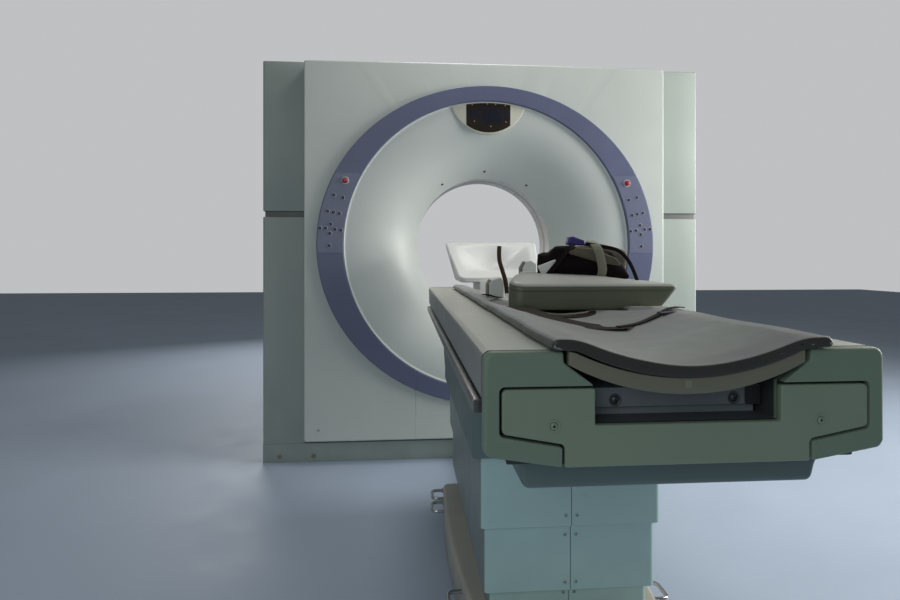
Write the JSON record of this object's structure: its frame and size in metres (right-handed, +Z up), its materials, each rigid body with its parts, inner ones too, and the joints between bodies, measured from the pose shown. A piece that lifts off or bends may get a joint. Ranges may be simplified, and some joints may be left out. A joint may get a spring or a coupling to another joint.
{
  "type": "computed tomography scanner",
  "caption": "Tilting ring-shaped scanner gantry between two stand covers, with a lifting patient table whose curved tabletop slides through the bore.",
  "frame": {"origin": "on the floor below the middle of the bore, where the scan plane crosses the bore axis", "axes": "+X right seen from the foot of the table, +Y along the bore away from the table, +Z up"},
  "size_m": [2.22, 2.833, 1.983],
  "materials": {
    "cover_white": "matte",
    "cover_grey": "matte",
    "recess_white": "matte",
    "band_blue": "matte",
    "keypad_blue": "matte",
    "key_dark": "matte",
    "stop_red": "satin",
    "display_beige": "matte",
    "display_glass": "satin",
    "light_glass": "satin",
    "frame_paint": "matte",
    "tilt_paint": "matte",
    "bearing_steel": "satin",
    "drum_metal": "satin",
    "tube_paint": "matte",
    "detector_paint": "matte",
    "ring_copper": "matte",
    "belt_rubber": "matte",
    "motor_black": "matte",
    "base_beige": "matte",
    "loop_chrome": "satin",
    "stage_teal": "matte",
    "column_steel": "satin",
    "housing_cream": "matte",
    "end_green": "matte",
    "under_blue": "matte",
    "rail_steel": "satin",
    "beam_grey": "matte",
    "top_carbon": "matte",
    "cap_olive": "matte",
    "mattress_vinyl": "satin",
    "headrest_foam": "satin",
    "board_foam": "satin",
    "bag_nylon": "matte"
  },
  "bodies": {
    "stand": {"stand_frame": "frame_paint", "left_side_cover": "cover_grey", "right_side_cover": "cover_grey", "floor_plinth": "cover_grey", "tilt_bearings": "bearing_steel", "table_base": "base_beige", "base_loops": "loop_chrome", "lower_stage": "stage_teal", "column_outer": "column_steel"},
    "gantry": {"tilt_frame": "tilt_paint", "front_cover": "cover_white", "lower_cover": "cover_white", "control_band": "band_blue", "front_funnel": "recess_white", "bore_liner": "recess_white", "rear_cover": "cover_white", "rear_funnel": "recess_white", "display_bezel": "display_beige", "display_glass": "display_glass", "light_windows": "light_glass", "left_keypad": "keypad_blue", "right_keypad": "keypad_blue", "drum_bearing": "bearing_steel", "drum_motor": "motor_black", "drive_belt": "belt_rubber"},
    "drum": {"drum": "drum_metal", "xray_tube": "tube_paint", "detector": "detector_paint", "generator": "tube_paint", "slip_ring": "ring_copper"},
    "pulley": {"motor_pulley": "bearing_steel"},
    "middle_cover": {"middle_stage": "stage_teal"},
    "upper_cover": {"upper_stage": "stage_teal"},
    "middle_column": {"column_middle": "column_steel"},
    "lift": {"column_inner": "column_steel", "housing": "housing_cream", "end_cover": "end_green", "under_cover": "under_blue", "side_rails": "rail_steel", "carriage_beam": "beam_grey"},
    "cradle": {"tabletop": "top_carbon", "end_cap": "cap_olive", "mattress": "mattress_vinyl", "headrest": "headrest_foam", "positioning_board": "board_foam", "strap_bag": "bag_nylon"},
    "left_stop": {"left_stop": "stop_red"},
    "left_key_1": {"left_key_1": "key_dark"},
    "left_key_2": {"left_key_2": "key_dark"},
    "left_key_3": {"left_key_3": "key_dark"},
    "left_key_4": {"left_key_4": "key_dark"},
    "left_key_5": {"left_key_5": "key_dark"},
    "left_key_6": {"left_key_6": "key_dark"},
    "right_stop": {"right_stop": "stop_red"},
    "right_key_1": {"right_key_1": "key_dark"},
    "right_key_2": {"right_key_2": "key_dark"},
    "right_key_3": {"right_key_3": "key_dark"},
    "right_key_4": {"right_key_4": "key_dark"},
    "right_key_5": {"right_key_5": "key_dark"},
    "right_key_6": {"right_key_6": "key_dark"}
  },
  "joints": [
    {"name": "gantry_tilt", "type": "hinge", "parent": "stand", "child": "gantry", "pos_m": [0, 0, 1.075], "axis": [-1, 0, 0], "range_deg": [-30, 30]},
    {"name": "drum_spin", "type": "hinge", "parent": "gantry", "child": "drum", "pos_m": [0, 0, 1.075], "axis": [0, 1, 0], "continuous": true},
    {"name": "pulley_spin", "type": "hinge", "parent": "gantry", "child": "pulley", "pos_m": [0.62, 0, 0.435], "axis": [0, 1, 0], "continuous": true},
    {"name": "table_lift", "type": "slide", "parent": "stand", "child": "lift", "axis": [0, 0, 1], "range_m": [-0.395, 0.1]},
    {"name": "middle_cover_lift", "type": "slide", "parent": "stand", "child": "middle_cover", "axis": [0, 0, 1], "range_m": [-0.0553, 0.014]},
    {"name": "upper_cover_lift", "type": "slide", "parent": "stand", "child": "upper_cover", "axis": [0, 0, 1], "range_m": [-0.21725, 0.055]},
    {"name": "column_lift", "type": "slide", "parent": "stand", "child": "middle_column", "axis": [0, 0, 1], "range_m": [-0.1975, 0.05]},
    {"name": "cradle_slide", "type": "slide", "parent": "lift", "child": "cradle", "axis": [0, 1, 0], "range_m": [0, 1.5]},
    {"name": "left_stop_press", "type": "slide", "parent": "gantry", "child": "left_stop", "axis": [0, 1, 0], "range_m": [0, 0.0025], "stiffness_N_per_m": 1200, "springref_m": -0.002},
    {"name": "left_key_1_press", "type": "slide", "parent": "gantry", "child": "left_key_1", "axis": [0, 1, 0], "range_m": [0, 0.0015], "stiffness_N_per_m": 700, "springref_m": -0.002},
    {"name": "left_key_2_press", "type": "slide", "parent": "gantry", "child": "left_key_2", "axis": [0, 1, 0], "range_m": [0, 0.0015], "stiffness_N_per_m": 700, "springref_m": -0.002},
    {"name": "left_key_3_press", "type": "slide", "parent": "gantry", "child": "left_key_3", "axis": [0, 1, 0], "range_m": [0, 0.0015], "stiffness_N_per_m": 700, "springref_m": -0.002},
    {"name": "left_key_4_press", "type": "slide", "parent": "gantry", "child": "left_key_4", "axis": [0, 1, 0], "range_m": [0, 0.0015], "stiffness_N_per_m": 700, "springref_m": -0.002},
    {"name": "left_key_5_press", "type": "slide", "parent": "gantry", "child": "left_key_5", "axis": [0, 1, 0], "range_m": [0, 0.0015], "stiffness_N_per_m": 700, "springref_m": -0.002},
    {"name": "left_key_6_press", "type": "slide", "parent": "gantry", "child": "left_key_6", "axis": [0, 1, 0], "range_m": [0, 0.0015], "stiffness_N_per_m": 700, "springref_m": -0.002},
    {"name": "right_stop_press", "type": "slide", "parent": "gantry", "child": "right_stop", "axis": [0, 1, 0], "range_m": [0, 0.0025], "stiffness_N_per_m": 1200, "springref_m": -0.002},
    {"name": "right_key_1_press", "type": "slide", "parent": "gantry", "child": "right_key_1", "axis": [0, 1, 0], "range_m": [0, 0.0015], "stiffness_N_per_m": 700, "springref_m": -0.002},
    {"name": "right_key_2_press", "type": "slide", "parent": "gantry", "child": "right_key_2", "axis": [0, 1, 0], "range_m": [0, 0.0015], "stiffness_N_per_m": 700, "springref_m": -0.002},
    {"name": "right_key_3_press", "type": "slide", "parent": "gantry", "child": "right_key_3", "axis": [0, 1, 0], "range_m": [0, 0.0015], "stiffness_N_per_m": 700, "springref_m": -0.002},
    {"name": "right_key_4_press", "type": "slide", "parent": "gantry", "child": "right_key_4", "axis": [0, 1, 0], "range_m": [0, 0.0015], "stiffness_N_per_m": 700, "springref_m": -0.002},
    {"name": "right_key_5_press", "type": "slide", "parent": "gantry", "child": "right_key_5", "axis": [0, 1, 0], "range_m": [0, 0.0015], "stiffness_N_per_m": 700, "springref_m": -0.002},
    {"name": "right_key_6_press", "type": "slide", "parent": "gantry", "child": "right_key_6", "axis": [0, 1, 0], "range_m": [0, 0.0015], "stiffness_N_per_m": 700, "springref_m": -0.002}
  ],
  "couplings": [
    {"joint": "pulley_spin", "follows": "drum_spin", "ratio": 15.2},
    {"joint": "middle_cover_lift", "follows": "table_lift", "ratio": 0.14},
    {"joint": "upper_cover_lift", "follows": "table_lift", "ratio": 0.55},
    {"joint": "column_lift", "follows": "table_lift", "ratio": 0.5}
  ]
}
